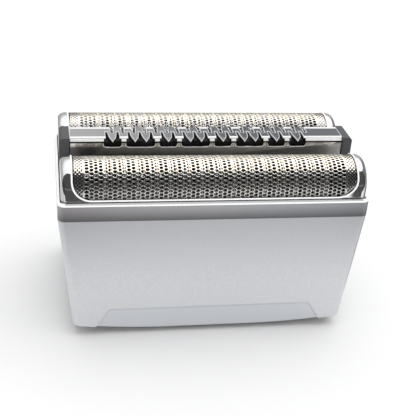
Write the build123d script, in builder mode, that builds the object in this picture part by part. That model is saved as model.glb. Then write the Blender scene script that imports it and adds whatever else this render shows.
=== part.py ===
from build123d import *
import os
from math import atan2, cos, pi, radians, sin, sqrt, tan

# Foil head of an electric shaver: a tapered housing with two floating foil units and a floating trimmer.
# Millimetres. X runs along the foils, -Y is the front, +Z is up and Z = 0 is under the housing.
os.makedirs("parts", exist_ok=True)

# Housing, measured outside
rim_length = 58.0
rim_height = 26.8
band_height = 3.3
end_taper = 2.8
base_depth = 33.6
base_lift = 1.3
base_flat_length = 16.0
corner_radius = 1.4
housing_wall = 1.1
rim_wall = 0.7
rim_end_wall = 0.45
rim_chamfer = 0.4
facet_height = 4.7
facet_margin = 3.7
facet_slant = 3.0
facet_depth = 0.45
latch_width = 8.0
latch_height = 3.0
latch_middle = 5.5
latch_depth = 0.5

# Chassis and the ledge that it stands on
ledge_thickness = 1.5
ledge_land = 1.3
chassis_gap = 0.6
chassis_thickness = 2.0
chassis_corner = 1.4
end_wall = 1.2
end_wall_height = 4.7
end_wall_margin = 1.7
rail_height = 1.5
rail_width = 0.8
rail_margin = 0.8

# Travels and clearances
float_travel = 2.0
cutter_stroke = 1.2
trimmer_stroke = 1.0
running_clearance = 0.3
close_clearance = 0.15
end_clearance = 0.1
seat_clearance = 0.05

# Foil units
foil_offset = 10.0
foil_radius = 4.5
foil_thickness = 0.2
foil_rise = 1.9
foil_leg = 2.5
frame_wall = 0.5
frame_gap = 0.15
frame_axis_drop = 0.5
frame_leg = 2.4
cheek = 2.1
cheek_round = 2.8
cheek_corner = 1.0
window_drop = 1.6
window_corner = 3.6
bead_width = 0.45
bead_height = 0.15
skirt_inset = 1.1
skirt_wall = 0.5
skirt_height = 4.7
skirt_corner = 1.0
tab_thickness = 0.4
tab_width = 4.4
hook_height = 1.0
hook_lintel = 1.0
hole_length = 4.6
hole_width = 0.6
hole_margin = 3.5
hole_columns = 7
hole_row_angle = 25.0
hole_rows = 5

# Cutters
blade_count = 9
blade_margin = 1.8
blade_sides = 8
blade_thickness = 0.3
blade_band = 1.3
carrier_drop = 2.3
carrier_height = 3.8
carrier_end_gap = 1.6
carrier_wall = 1.0
carrier_boss = 6.4
post_size = 2.6
post_reach = 1.0
bridge_length = 38.0
bridge_depth = 5.8
bridge_thickness = 2.0
hub_length = 8.0
hub_height = 3.0
lug_length = 7.0
lug_depth = 4.4
lug_drop = 3.5
drive_bore_radius = 1.5
drive_bore_depth = 5.0
cutter_spring_radius = 2.3
cutter_spring_wire = 0.5
cutter_spring_turns = 2.5

# Trimmer
trimmer_rise = 0.6
sheet = 0.25
comb_depth = 4.7
tooth_pitch = 2.11
tooth_count = 18
tooth_stagger = 0.25
tooth_slot = 0.5
tooth_slot_end = 0.4
tooth_reach = 0.65
tooth_drop = 0.7
tooth_shoulder = 0.12
bridge_teeth = (1, 4, 6, 9, 11, 14, 16)
guard_depth = 5.5
guard_height = 6.7
guard_round = 0.8
guard_bridge = 0.95
guard_window = 1.8
guard_spine = 1.0
cap_length = 1.9
cap_depth = 5.9
cap_chamfer = 0.5
beam_overlap = 1.0
beam_height = 3.5
trimmer_tab_width = 3.0
blade_end_gap = 1.2
blade_lift = 1.0
blade_sheet = 0.3
blade_slot = 2.0
blade_slot_pitch = 4.0
blade_slot_count = 11
blade_slot_depth = 2.0
slider_inset = 2.2
trimmer_lug_length = 3.6
trimmer_lug_depth = 2.0
trimmer_lug_lift = 0.7
drive_notch = 1.4
drive_notch_depth = 3.0
trimmer_spring_place = 16.0
trimmer_spring_radius = 1.4
trimmer_spring_wire = 0.4
trimmer_spring_turns = 3.5
spring_post = 1.4
spring_post_height = 2.0
coil_steps = 8

# Cutting tools reach this far past what they cut
overcut = 1.0

# Depths and lengths that follow
frame_radius = foil_radius + frame_wall
rim_depth = 2 * (foil_offset + frame_radius + frame_gap + rim_wall)
base_length = rim_length - 2 * end_taper
facet_foot_length = base_length - 2 * facet_margin
facet_top_length = facet_foot_length - 2 * facet_slant
frame_length = rim_length - 2 * (rim_end_wall + frame_gap)
frame_half = frame_length / 2
foil_length = frame_length - 2 * cheek
cavity_half = foil_length / 2 + end_clearance
skirt_length = frame_length - 2 * skirt_inset
skirt_depth = 2 * foil_radius
hole_pitch = (foil_length - 2 * hole_margin - hole_length) / (hole_columns - 1)
blade_radius = foil_radius - foil_thickness - close_clearance
carrier_length = foil_length - 2 * (cutter_stroke + carrier_end_gap)
carrier_depth = skirt_depth - 2 * (skirt_wall + running_clearance)
blade_pitch = (carrier_length - 2 * blade_margin) / (blade_count - 1)
rail_length = bridge_length + 2 * (cutter_stroke + rail_margin)
cap_inside = frame_half - cap_length
guard_length = 2 * (cap_inside - end_clearance)
comb_length = 2 * (cap_inside - seat_clearance)
guard_inside = guard_depth / 2 - sheet
inner_blade_half = guard_inside - close_clearance - seat_clearance
blade_length = 2 * (cap_inside - trimmer_stroke - blade_end_gap)
slider_half = inner_blade_half - blade_sheet - close_clearance
slider_length = blade_length - 2 * slider_inset
end_wall_depth = 2 * (foil_offset + tab_width / 2 + end_wall_margin)
foil_sides = (("front", -foil_offset), ("rear", foil_offset))

# Heights that follow
band_bottom = rim_height - band_height
foil_axis_height = rim_height + foil_rise
foil_foot = foil_axis_height - foil_leg
frame_axis_height = foil_axis_height - frame_axis_drop
frame_crown = frame_axis_height + frame_radius
frame_foot = frame_axis_height - frame_leg
pocket_floor = frame_foot - float_travel - running_clearance
window_sill = foil_axis_height - window_drop
skirt_foot = foil_foot - skirt_height
end_wall_top = skirt_foot - float_travel - running_clearance
chassis_top = end_wall_top - end_wall_height
ledge_height = chassis_top - chassis_thickness
hook_top = end_wall_top - hook_lintel
hook_foot = hook_top - hook_height
carrier_top = foil_axis_height - carrier_drop
carrier_foot = carrier_top - carrier_height
post_top = carrier_foot + post_reach
hub_top = chassis_top + hub_height
lug_foot = chassis_top - lug_drop
trimmer_top = foil_axis_height + foil_radius + trimmer_rise
comb_underside = trimmer_top - sheet
guard_foot = trimmer_top - guard_height
guard_sill = trimmer_top - guard_window
beam_top = guard_foot + beam_overlap
beam_foot = beam_top - beam_height
inner_blade_top = comb_underside - sheet - 2 * close_clearance + seat_clearance
blade_foot = beam_top + blade_lift
blade_slot_floor = inner_blade_top - blade_slot_depth
slider_top = inner_blade_top - blade_sheet
slider_foot = beam_top + close_clearance + seat_clearance
trimmer_lug_foot = chassis_top + trimmer_lug_lift


def box_sketch(height, length, depth, x, y):
    # Plain rectangle at one height
    with BuildSketch(Plane.XY.offset(height)) as outline:
        with Locations((x, y)):
            Rectangle(length, depth)
    return outline.sketch


def block(low, high, length, depth, x=0.0, y=0.0, mode=Mode.ADD):
    # Upright block between two heights, joined to the piece in hand or cut from it
    extrude(box_sketch(low, length, depth, x, y), amount=high - low, mode=mode)


def wall_half(foot_size, top_size, height, inset):
    # Half the housing's length or depth at one height, drawn inset from the outside
    return (foot_size + (top_size - foot_size) * height / band_bottom) / 2 - inset


def taper_profile(plane, foot_size, top_size, low, high, inset):
    # Tapered outline of the housing between two heights, seen from one side
    low_half = wall_half(foot_size, top_size, low, inset)
    high_half = wall_half(foot_size, top_size, high, inset)
    with BuildSketch(plane) as profile:
        with BuildLine():
            Polyline((-low_half, low), (low_half, low), (high_half, high), (-high_half, high), close=True)
        make_face()
    return profile.sketch


def tapered_block(low, high, inset):
    # Block between two heights whose four sides follow the housing's taper
    end_view = taper_profile(Plane.YZ, base_depth, rim_depth, low, high, inset)
    front_view = taper_profile(Plane.XZ, base_length, rim_length, low, high, inset)
    with BuildPart() as taper:
        extrude(front_view, amount=base_depth, both=True)
        extrude(end_view, amount=rim_length, both=True, mode=Mode.INTERSECT)
    return taper.part


def arch(centre, half_depth, axis_height, foot):
    # Upright sides under a half round, seen along X
    with BuildSketch(Plane.YZ) as profile:
        with BuildLine():
            crown = CenterArc((centre, axis_height), half_depth, 0, 180)
            Polyline(crown @ 1, (centre - half_depth, foot), (centre + half_depth, foot), crown @ 0)
        make_face()
    return profile.sketch


def coil(x, y, foot, top, radius, wire, turns):
    # Square wire coil that stands between two seats, its turns made of short straight lengths
    wire_reach = wire * sqrt(0.5)
    start = foot + wire_reach + seat_clearance
    height = top - wire_reach - seat_clearance - start
    steps = int(turns * coil_steps)
    points = []
    for step in range(steps + 1):
        angle = 2 * pi * step / coil_steps
        points.append((x + radius * cos(angle), y + radius * sin(angle), start + height * step / steps))
    with BuildPart() as spring:
        with BuildLine() as path:
            Polyline(*points)
        with BuildSketch(Plane(origin=path.line @ 0, x_dir=(0, 0, 1), z_dir=path.line % 0)):
            Rectangle(wire, wire)
        sweep(is_frenet=False, transition=Transition.RIGHT)
    return spring.part


chassis_length = 2 * (wall_half(base_length, rim_length, ledge_height, housing_wall) - chassis_gap)
chassis_depth = 2 * (wall_half(base_depth, rim_depth, ledge_height, housing_wall) - chassis_gap)

# Housing: tapered shell with an upright band, open above and below
base_half = base_length / 2
base_reach = rim_length / 2
with BuildSketch(Plane.XZ) as under_base:
    with BuildLine():
        middle = Line((-base_flat_length / 2, 0), (base_flat_length / 2, 0))
        right_rise = TangentArc(middle @ 1, (base_half, base_lift), tangent=(1, 0))
        left_rise = TangentArc(middle @ 0, (-base_half, base_lift), tangent=(-1, 0))
        Polyline(right_rise @ 1, (base_reach, base_lift), (base_reach, -overcut), (-base_reach, -overcut),
                 (-base_reach, base_lift), left_rise @ 1)
    make_face()

facet_foot_half = wall_half(base_depth, rim_depth, 0, 0)
facet_top_half = wall_half(base_depth, rim_depth, facet_height, 0)
with BuildPart() as facets:
    with BuildSketch(Plane.XZ):
        with BuildLine():
            Polyline((-facet_foot_length / 2, -overcut), (facet_foot_length / 2, -overcut),
                     (facet_foot_length / 2, 0), (facet_top_length / 2, facet_height),
                     (-facet_top_length / 2, facet_height), (-facet_foot_length / 2, 0), close=True)
        make_face()
    extrude(amount=base_depth, both=True)
    with BuildSketch(Plane.YZ):
        for face in (-1, 1):
            with BuildLine():
                Polyline((face * facet_top_half, facet_height), (face * (facet_foot_half - facet_depth), 0),
                         (face * (facet_foot_half - facet_depth), -overcut), (face * base_depth, -overcut),
                         (face * base_depth, facet_height), close=True)
            make_face()
    extrude(amount=rim_length, both=True, mode=Mode.INTERSECT)

with BuildPart() as housing_shell:
    add(tapered_block(0, band_bottom, 0))
    upright_edges = housing_shell.edges().filter_by(lambda edge: edge.bounding_box().size.Z > band_height)
    fillet(upright_edges, corner_radius)
    extrude(housing_shell.faces().sort_by(Axis.Z)[-1], amount=band_height)
    chamfer(housing_shell.faces().sort_by(Axis.Z)[-1].edges(), rim_chamfer)
    add(facets.part, mode=Mode.SUBTRACT)
    add(tapered_block(ledge_height, band_bottom, housing_wall), mode=Mode.SUBTRACT)
    add(tapered_block(0, ledge_height - ledge_thickness, housing_wall), mode=Mode.SUBTRACT)
    block(band_bottom, rim_height, rim_length - 2 * housing_wall, rim_depth - 2 * housing_wall,
          mode=Mode.SUBTRACT)
    with BuildSketch(Plane.XY.offset(pocket_floor)):
        RectangleRounded(rim_length - 2 * rim_end_wall, rim_depth - 2 * rim_wall, corner_radius - rim_wall)
    extrude(amount=rim_height - pocket_floor, mode=Mode.SUBTRACT)
    block(0, ledge_height, chassis_length - 2 * ledge_land, chassis_depth - 2 * ledge_land,
          mode=Mode.SUBTRACT)
    extrude(under_base.sketch, amount=base_depth, both=True, mode=Mode.SUBTRACT)
    # Recesses in the end walls for the latches of the handle
    latch_reach = 2 * (wall_half(base_length, rim_length, latch_middle, housing_wall) + latch_depth)
    block(latch_middle - latch_height / 2, latch_middle + latch_height / 2, latch_reach, latch_width,
          mode=Mode.SUBTRACT)
housing_shell.part.label = "housing_shell"
export_step(housing_shell.part, "parts/housing_shell.step")

# Chassis: floor with drive slots, guide rails and hooked end walls
wall_middle = cavity_half - running_clearance - end_wall / 2
gap_foot = hook_foot - float_travel - running_clearance
rail_gap = bridge_depth / 2 + running_clearance + rail_width / 2
drive_slot = lug_length + 2 * (cutter_stroke + running_clearance)
trimmer_slot = trimmer_lug_length + 2 * (trimmer_stroke + running_clearance)
trimmer_slot_depth = trimmer_lug_depth + 2 * running_clearance
hook_windows = ((-foil_offset, tab_width), (0.0, trimmer_tab_width), (foil_offset, tab_width))
with BuildPart() as chassis:
    with BuildSketch(Plane.XY.offset(ledge_height)) as floor:
        Rectangle(chassis_length, chassis_depth)
        chamfer(floor.vertices(), chassis_corner)
    extrude(amount=chassis_thickness)
    for end in (-wall_middle, wall_middle):
        block(chassis_top, end_wall_top, end_wall, end_wall_depth, x=end)
        for y, width in hook_windows:
            block(gap_foot, hook_top, 2 * end_wall, width + 2 * running_clearance, x=end, y=y,
                  mode=Mode.SUBTRACT)
    for y in (-foil_offset, foil_offset):
        for rail in (y - rail_gap, y + rail_gap):
            block(chassis_top, chassis_top + rail_height, rail_length, rail_width, y=rail)
        block(ledge_height, chassis_top, drive_slot, lug_depth + 2 * running_clearance, y=y,
              mode=Mode.SUBTRACT)
    block(ledge_height, chassis_top, trimmer_slot, trimmer_slot_depth, mode=Mode.SUBTRACT)
    for x in (-trimmer_spring_place, trimmer_spring_place):
        block(chassis_top, chassis_top + spring_post_height, spring_post, spring_post, x=x)
chassis.part.label = "chassis"
export_step(chassis.part, "parts/chassis.step")

# Two alike foil units, each with its cutter, spring and drive
above_frame = foil_axis_height + 2 * foil_radius
for side, centre in foil_sides:
    across = Plane.XZ.offset(-centre)
    with BuildSketch(across) as window:
        with BuildLine():
            Polyline((-cavity_half, above_frame), (-cavity_half, window_sill), (cavity_half, window_sill),
                     (cavity_half, above_frame), close=True)
        make_face()
        fillet(window.vertices().group_by(Axis.Y)[0], window_corner)
    with BuildSketch(across) as bead_outline:
        add(window.sketch)
        offset(amount=bead_width)
    foil_room = arch(centre, foil_radius + seat_clearance, foil_axis_height, foil_foot)

    # Bead: narrow ridge along the edge of the foil opening
    bead_profile = arch(centre, frame_radius + bead_height, frame_axis_height, frame_foot)
    with BuildPart() as bead:
        extrude(bead_profile, amount=frame_half, both=True)
        extrude(bead_outline.sketch, amount=2 * frame_radius, both=True, mode=Mode.INTERSECT)

    # Frame: chromed loaf with rounded cheeks over a narrower skirt with end hooks
    with BuildPart() as frame:
        extrude(arch(centre, frame_radius, frame_axis_height, frame_foot), amount=frame_half, both=True)
        with BuildSketch(across) as cheeks:
            with BuildLine():
                Polyline((-frame_half, frame_foot), (frame_half, frame_foot), (frame_half, frame_crown),
                         (-frame_half, frame_crown), close=True)
            make_face()
            fillet(cheeks.vertices().group_by(Axis.Y)[-1], cheek_round)
        extrude(amount=2 * frame_radius, both=True, mode=Mode.INTERSECT)
        with BuildSketch(Plane.XY.offset(frame_foot)):
            with Locations((0, centre)):
                RectangleRounded(frame_length, 2 * frame_radius, cheek_corner)
        extrude(amount=2 * frame_radius, mode=Mode.INTERSECT)
        add(bead.part)
        with BuildSketch(Plane.XY.offset(skirt_foot)) as skirt:
            with Locations((0, centre)):
                Rectangle(skirt_length, skirt_depth)
            chamfer(skirt.vertices(), skirt_corner)
        extrude(amount=skirt_height)
        extrude(foil_room, amount=cavity_half, both=True, mode=Mode.SUBTRACT)
        extrude(window.sketch, amount=2 * frame_radius, both=True, mode=Mode.SUBTRACT)
        block(skirt_foot, foil_foot, 2 * cavity_half, skirt_depth - 2 * skirt_wall, y=centre,
              mode=Mode.SUBTRACT)
        for end in (-1, 1):
            tab_middle = end * (cavity_half + tab_thickness / 2)
            block(hook_foot, skirt_foot, tab_thickness, tab_width, x=tab_middle, y=centre)
            hook_middle = end * (cavity_half - end_wall / 2)
            block(hook_foot, hook_top, end_wall, tab_width, x=hook_middle, y=centre)
    frame.part.label = side + "_foil_frame"
    export_step(frame.part, "parts/" + side + "_foil_frame.step")

    # Foil: thin arch with staggered slots
    foil_underside = arch(centre, foil_radius - foil_thickness, foil_axis_height, foil_foot)
    with BuildPart() as foil:
        extrude(arch(centre, foil_radius, foil_axis_height, foil_foot), amount=foil_length / 2, both=True)
        extrude(foil_underside, amount=foil_length / 2, both=True, mode=Mode.SUBTRACT)
        for row in range(hole_rows):
            tilt = radians(hole_row_angle * (row - (hole_rows - 1) / 2))
            spoke = (0, sin(tilt), cos(tilt))
            with BuildSketch(Plane((0, centre, foil_axis_height), x_dir=(1, 0, 0), z_dir=spoke)) as holes:
                with GridLocations(hole_pitch, 0, hole_columns - row % 2, 1):
                    Rectangle(hole_length, hole_width)
            extrude(holes.sketch, amount=2 * foil_radius, mode=Mode.SUBTRACT)
    foil.part.label = side + "_foil"
    export_step(foil.part, "parts/" + side + "_foil.step")

    # Blades: row of thin arches that stand on their carrier
    inner = blade_radius - blade_band
    corner = inner * tan(pi / 8)
    outer_edge = []
    for step in range(blade_sides + 1):
        turn = pi * step / blade_sides
        outer_edge.append((centre + blade_radius * cos(turn), foil_axis_height + blade_radius * sin(turn)))
    with BuildSketch(Plane.YZ) as blade_form:
        with BuildLine():
            Polyline(*outer_edge, (centre - blade_radius, carrier_top), (centre - inner, carrier_top),
                     (centre - inner, foil_axis_height + corner), (centre - corner, foil_axis_height + inner),
                     (centre + corner, foil_axis_height + inner), (centre + inner, foil_axis_height + corner),
                     (centre + inner, carrier_top), (centre + blade_radius, carrier_top), close=True)
        make_face()
    with BuildPart() as blades:
        for index in range(blade_count):
            x = blade_pitch * (index - (blade_count - 1) / 2)
            extrude(blade_form.sketch.moved(Location((x, 0, 0))), amount=blade_thickness / 2, both=True)
    blades.part.label = side + "_blades"
    export_step(blades.part, "parts/" + side + "_blades.step")

    # Carrier: hollow beam with a boss that takes the drive post
    socket_size = post_size + 2 * close_clearance
    socket_top = post_top + float_travel + close_clearance
    with BuildPart() as carrier:
        block(carrier_foot, carrier_top, carrier_length, carrier_depth, y=centre)
        with BuildSketch(Plane.XY.offset(carrier_foot)):
            with Locations((0, centre)):
                Rectangle(carrier_length - 2 * carrier_wall, carrier_depth - 2 * carrier_wall)
                Rectangle(carrier_boss, carrier_depth, mode=Mode.SUBTRACT)
        extrude(amount=carrier_height - carrier_wall, mode=Mode.SUBTRACT)
        block(carrier_foot, socket_top, socket_size, socket_size, y=centre, mode=Mode.SUBTRACT)
    carrier.part.label = side + "_blade_carrier"
    export_step(carrier.part, "parts/" + side + "_blade_carrier.step")

    # Bridge: slider on the chassis floor with a post above and a drive lug below
    with BuildPart() as bridge:
        block(chassis_top, chassis_top + bridge_thickness, bridge_length, bridge_depth, y=centre)
        block(chassis_top, hub_top, hub_length, bridge_depth, y=centre)
        block(hub_top, post_top, post_size, post_size, y=centre)
        block(lug_foot, chassis_top, lug_length, lug_depth, y=centre)
        with BuildSketch(Plane.XY.offset(lug_foot)):
            with Locations((0, centre)):
                Circle(drive_bore_radius)
        extrude(amount=drive_bore_depth, mode=Mode.SUBTRACT)
    bridge.part.label = side + "_drive_bridge"
    export_step(bridge.part, "parts/" + side + "_drive_bridge.step")

    # Spring between the bridge's hub and the carrier's boss
    cutter_spring = coil(0, centre, hub_top, carrier_foot, cutter_spring_radius, cutter_spring_wire,
                         cutter_spring_turns)
    cutter_spring.label = side + "_cutter_spring"
    export_step(cutter_spring, "parts/" + side + "_cutter_spring.step")


def tooth_place(number):
    # Teeth count from the left, and the rear row is the front row turned half round
    return (number - tooth_count / 2 + tooth_stagger) * tooth_pitch


# Trimmer carrier: beam between two end caps, with a hooked tab at each end
with BuildPart() as trimmer_carrier:
    block(beam_foot, beam_top, 2 * cap_inside, 2 * (guard_inside - seat_clearance))
    for end in (-1, 1):
        cap_middle = end * (cap_inside + cap_length / 2)
        block(frame_foot, trimmer_top, cap_length, cap_depth, x=cap_middle)
        tab_middle = end * (cavity_half + tab_thickness / 2)
        block(hook_foot, frame_foot, tab_thickness, trimmer_tab_width, x=tab_middle)
        hook_middle = end * (cavity_half - end_wall / 2)
        block(hook_foot, hook_top, end_wall, trimmer_tab_width, x=hook_middle)
    cap_tops = trimmer_carrier.faces().filter_by(Axis.Z).group_by(Axis.Z)[-1]
    outer_edges = cap_tops.edges().filter_by(Axis.Y).sort_by(Axis.X)
    chamfer([outer_edges[0], outer_edges[-1]], cap_chamfer)
    block(beam_foot, beam_top, trimmer_slot, trimmer_slot_depth, mode=Mode.SUBTRACT)
    for x in (-trimmer_spring_place, trimmer_spring_place):
        block(beam_foot - spring_post_height, beam_foot, spring_post, spring_post, x=x)
trimmer_carrier.part.label = "trimmer_carrier"
export_step(trimmer_carrier.part, "parts/trimmer_carrier.step")

# Trimmer guard: folded channel with windows across both top bends
window_ends = (-1,) + bridge_teeth + (tooth_count,)
with BuildSketch(Plane.XZ.offset(guard_spine / 2)) as guard_windows:
    for left, right in zip(window_ends, window_ends[1:]):
        start = tooth_place(left) + guard_bridge / 2
        finish = tooth_place(right) - guard_bridge / 2
        with BuildLine():
            Polyline((start, guard_sill), (finish, guard_sill), (finish, trimmer_top), (start, trimmer_top),
                     close=True)
        make_face()
with BuildPart() as front_windows:
    extrude(guard_windows.sketch, amount=guard_depth)
guard_half = guard_depth / 2
with BuildPart() as trimmer_guard:
    with BuildSketch(Plane.YZ) as channel:
        with BuildLine():
            Polyline((-guard_half, guard_foot), (-guard_half, comb_underside), (guard_half, comb_underside),
                     (guard_half, guard_foot), close=True)
        make_face()
        fillet(channel.vertices().group_by(Axis.Y)[-1], guard_round)
        with BuildLine():
            Polyline((-guard_inside, guard_foot), (-guard_inside, comb_underside - sheet),
                     (guard_inside, comb_underside - sheet), (guard_inside, guard_foot), close=True)
        make_face(mode=Mode.SUBTRACT)
    extrude(amount=guard_length / 2, both=True)
    add(front_windows.part, mode=Mode.SUBTRACT)
    add(front_windows.part.rotate(Axis.Z, 180), mode=Mode.SUBTRACT)
trimmer_guard.part.label = "trimmer_guard"
export_step(trimmer_guard.part, "parts/trimmer_guard.step")

# Trimmer comb: flat sheet cut to a zigzag ribbon, with its long teeth bent down over the guard
comb_half = comb_depth / 2
tip = comb_half + tooth_reach


def tooth_flank(number, slot_edge):
    # Two points from a slot's mouth to the middle of the tooth beside it
    if number in bridge_teeth or number < 0 or number >= tooth_count:
        return [(slot_edge, -comb_half), (tooth_place(number), -comb_half)]
    return [(slot_edge, -comb_half - tooth_shoulder), (tooth_place(number), -tip)]


slot_foot = trimmer_top - tooth_drop - sheet - overcut
with BuildSketch(Plane.XY.offset(slot_foot)) as slots:
    for number in range(-1, tooth_count):
        left_edge = tooth_place(number + 0.5) - tooth_slot / 2
        right_edge = left_edge + tooth_slot
        left_flank = tooth_flank(number, left_edge)
        right_flank = tooth_flank(number + 1, right_edge)
        with BuildLine():
            Polyline((left_edge, tooth_slot_end), *left_flank, (left_flank[1][0], -tip - overcut),
                     (right_flank[1][0], -tip - overcut), *reversed(right_flank),
                     (right_edge, tooth_slot_end), close=True)
        make_face()
    # The plain ends have no bent edge
    for first, last in ((-comb_length / 2, tooth_place(-1)), (tooth_place(tooth_count), comb_length / 2)):
        with Locations(((first + last) / 2, -comb_half - overcut)):
            Rectangle(last - first, 2 * overcut)
with BuildPart() as front_slots:
    extrude(slots.sketch, amount=trimmer_top - slot_foot)
bend = atan2(tooth_drop, tooth_reach)
fold = sheet * tan(bend / 2)
tip_inside = tip - sheet * sin(bend)
tip_foot = trimmer_top - tooth_drop - sheet * cos(bend)
with BuildPart() as trimmer_comb:
    with BuildSketch(Plane.YZ):
        with BuildLine():
            Polyline((-tip, trimmer_top - tooth_drop), (-comb_half, trimmer_top), (comb_half, trimmer_top),
                     (tip, trimmer_top - tooth_drop), (tip_inside, tip_foot),
                     (comb_half - fold, comb_underside), (fold - comb_half, comb_underside),
                     (-tip_inside, tip_foot), close=True)
        make_face()
    extrude(amount=comb_length / 2, both=True)
    add(front_slots.part, mode=Mode.SUBTRACT)
    add(front_slots.part.rotate(Axis.Z, 180), mode=Mode.SUBTRACT)
trimmer_comb.part.label = "trimmer_comb"
export_step(trimmer_comb.part, "parts/trimmer_comb.step")

# Trimmer blade: slotted channel that runs inside the guard
with BuildPart() as trimmer_blade:
    with BuildSketch(Plane.YZ):
        with Locations((0, (inner_blade_top + blade_foot) / 2)):
            Rectangle(2 * inner_blade_half, inner_blade_top - blade_foot)
        with Locations((0, (slider_top + blade_foot) / 2)):
            Rectangle(2 * (inner_blade_half - blade_sheet), slider_top - blade_foot, mode=Mode.SUBTRACT)
    extrude(amount=blade_length / 2, both=True)
    with BuildSketch(Plane.XY.offset(blade_slot_floor)):
        with GridLocations(blade_slot_pitch, 0, blade_slot_count, 1):
            Rectangle(blade_slot, guard_depth)
    extrude(amount=blade_slot_depth, mode=Mode.SUBTRACT)
trimmer_blade.part.label = "trimmer_blade"
export_step(trimmer_blade.part, "parts/trimmer_blade.step")

# Trimmer slider: bar under the blade with a long drive lug
notch_top = trimmer_lug_foot + drive_notch_depth
with BuildPart() as trimmer_slider:
    block(slider_foot, slider_top, slider_length, 2 * slider_half)
    block(trimmer_lug_foot, slider_foot, trimmer_lug_length, trimmer_lug_depth)
    block(trimmer_lug_foot, notch_top, drive_notch, trimmer_lug_depth, mode=Mode.SUBTRACT)
trimmer_slider.part.label = "trimmer_slider"
export_step(trimmer_slider.part, "parts/trimmer_slider.step")

# Springs between the chassis floor and the trimmer's beam
for side, x in (("left", -trimmer_spring_place), ("right", trimmer_spring_place)):
    trimmer_spring = coil(x, 0, chassis_top, beam_foot, trimmer_spring_radius, trimmer_spring_wire,
                          trimmer_spring_turns)
    trimmer_spring.label = "trimmer_spring_" + side
    export_step(trimmer_spring, "parts/trimmer_spring_" + side + ".step")
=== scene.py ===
import bmesh
import bpy
from math import asin, cos, pi, radians, sin
from mathutils import Matrix, Vector


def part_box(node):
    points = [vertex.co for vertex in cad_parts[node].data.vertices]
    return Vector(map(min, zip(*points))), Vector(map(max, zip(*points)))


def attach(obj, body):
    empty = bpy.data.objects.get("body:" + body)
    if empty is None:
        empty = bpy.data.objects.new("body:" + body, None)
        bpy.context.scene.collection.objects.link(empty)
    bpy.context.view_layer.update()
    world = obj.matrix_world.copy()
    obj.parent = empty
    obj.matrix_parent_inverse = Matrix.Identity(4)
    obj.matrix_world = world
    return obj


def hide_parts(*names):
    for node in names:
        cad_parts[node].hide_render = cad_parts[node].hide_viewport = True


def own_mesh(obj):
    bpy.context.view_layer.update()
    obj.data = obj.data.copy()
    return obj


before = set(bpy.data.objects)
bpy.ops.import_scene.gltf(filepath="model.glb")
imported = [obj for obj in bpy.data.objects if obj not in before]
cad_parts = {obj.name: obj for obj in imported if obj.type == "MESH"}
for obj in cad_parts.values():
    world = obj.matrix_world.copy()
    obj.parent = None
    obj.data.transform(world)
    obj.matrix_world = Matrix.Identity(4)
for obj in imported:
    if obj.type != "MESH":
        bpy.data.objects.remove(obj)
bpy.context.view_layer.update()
scene = bpy.context.scene
mm = 0.001
sides = ("front", "rear")
fadeEnd = 0.4  # how much of an edge's width is left where its fade is complete


# node trees are written as expressions on these two classes
class Wire:
    def __init__(self, bench, socket):
        self.bench = bench
        self.socket = socket

    def pick(self, name):
        return Wire(self.bench, self.socket.node.outputs[name])  # another output of the same node

    def __add__(self, other):
        return self.bench.maths("ADD", self, other)

    def __radd__(self, other):
        return self.bench.maths("ADD", other, self)

    def __sub__(self, other):
        return self.bench.maths("SUBTRACT", self, other)

    def __rsub__(self, other):
        return self.bench.maths("SUBTRACT", other, self)

    def __mul__(self, other):
        return self.bench.maths("MULTIPLY", self, other)

    def __rmul__(self, other):
        return self.bench.maths("MULTIPLY", other, self)

    def __truediv__(self, other):
        return self.bench.maths("DIVIDE", self, other)

    def __lt__(self, other):
        return self.bench.maths("LESS_THAN", self, other)

    def __gt__(self, other):
        return self.bench.maths("GREATER_THAN", self, other)

    def __abs__(self):
        return self.bench.maths("ABSOLUTE", self)


class Bench:
    def __init__(self, tree):
        self.tree = tree

    def plug(self, target, value):
        if isinstance(value, Wire):
            self.tree.links.new(value.socket, target)
        else:
            target.default_value = value

    def add(self, kind, settings=None, sockets=None, out=0):
        node = self.tree.nodes.new(kind)
        for name, value in (settings or {}).items():
            setattr(node, name, value)
        for name, value in (sockets or {}).items():
            self.plug(node.inputs[name], value)
        return Wire(self, node.outputs[out]) if node.outputs else None

    def maths(self, operation, *values):
        return self.add("ShaderNodeMath", {"operation": operation}, dict(enumerate(values)))

    def fade(self, value, low, high):
        # 0 below low, 1 above high, smooth between
        return self.add("ShaderNodeMapRange", {"interpolation_type": "SMOOTHSTEP"},
                        {0: value, 1: low, 2: high})

    def blend(self, factor, first, second):
        # two colours mixed
        return self.add("ShaderNodeMix", {"data_type": "RGBA"}, {0: factor, 6: first, 7: second}, out=2)

    def split(self, place, out):
        # one coordinate; pick gives the others
        return self.add("ShaderNodeSeparateXYZ", None, {0: place}, out=out)

    def combine(self, **axes):
        return self.add("ShaderNodeCombineXYZ", None, axes)

    def noise(self, place, scale, detail=2.0):
        return self.add("ShaderNodeTexNoise", None, {"Vector": place, "Scale": scale, "Detail": detail})

    def drawn(self, place, lines):
        # fine lines along X, as drawn steel has
        thin = self.add("ShaderNodeMapping", None, {"Vector": place, "Scale": (0.03, 1.0, 1.0)})
        return self.noise(thin, lines, 3.0)


def feed(bench, shader, **inputs):
    for label, value in inputs.items():
        bench.plug(shader.inputs[label.replace("_", " ")], value)


def newFinish(name, **fixed):
    # a material with its shader, and the place on the surface in the frame's metres
    material = bpy.data.materials.new(name)
    material.use_nodes = True
    bench = Bench(material.node_tree)
    shader = material.node_tree.nodes["Principled BSDF"]
    feed(bench, shader, **fixed)
    place = bench.add("ShaderNodeTexCoord", out="Object")
    return material, bench, shader, place


def bumpFrom(bench, shader, height, depth):
    bump = bench.add("ShaderNodeBump", None, {"Height": height, "Distance": depth, "Strength": 1.0})
    feed(bench, shader, Normal=bump)


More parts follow.
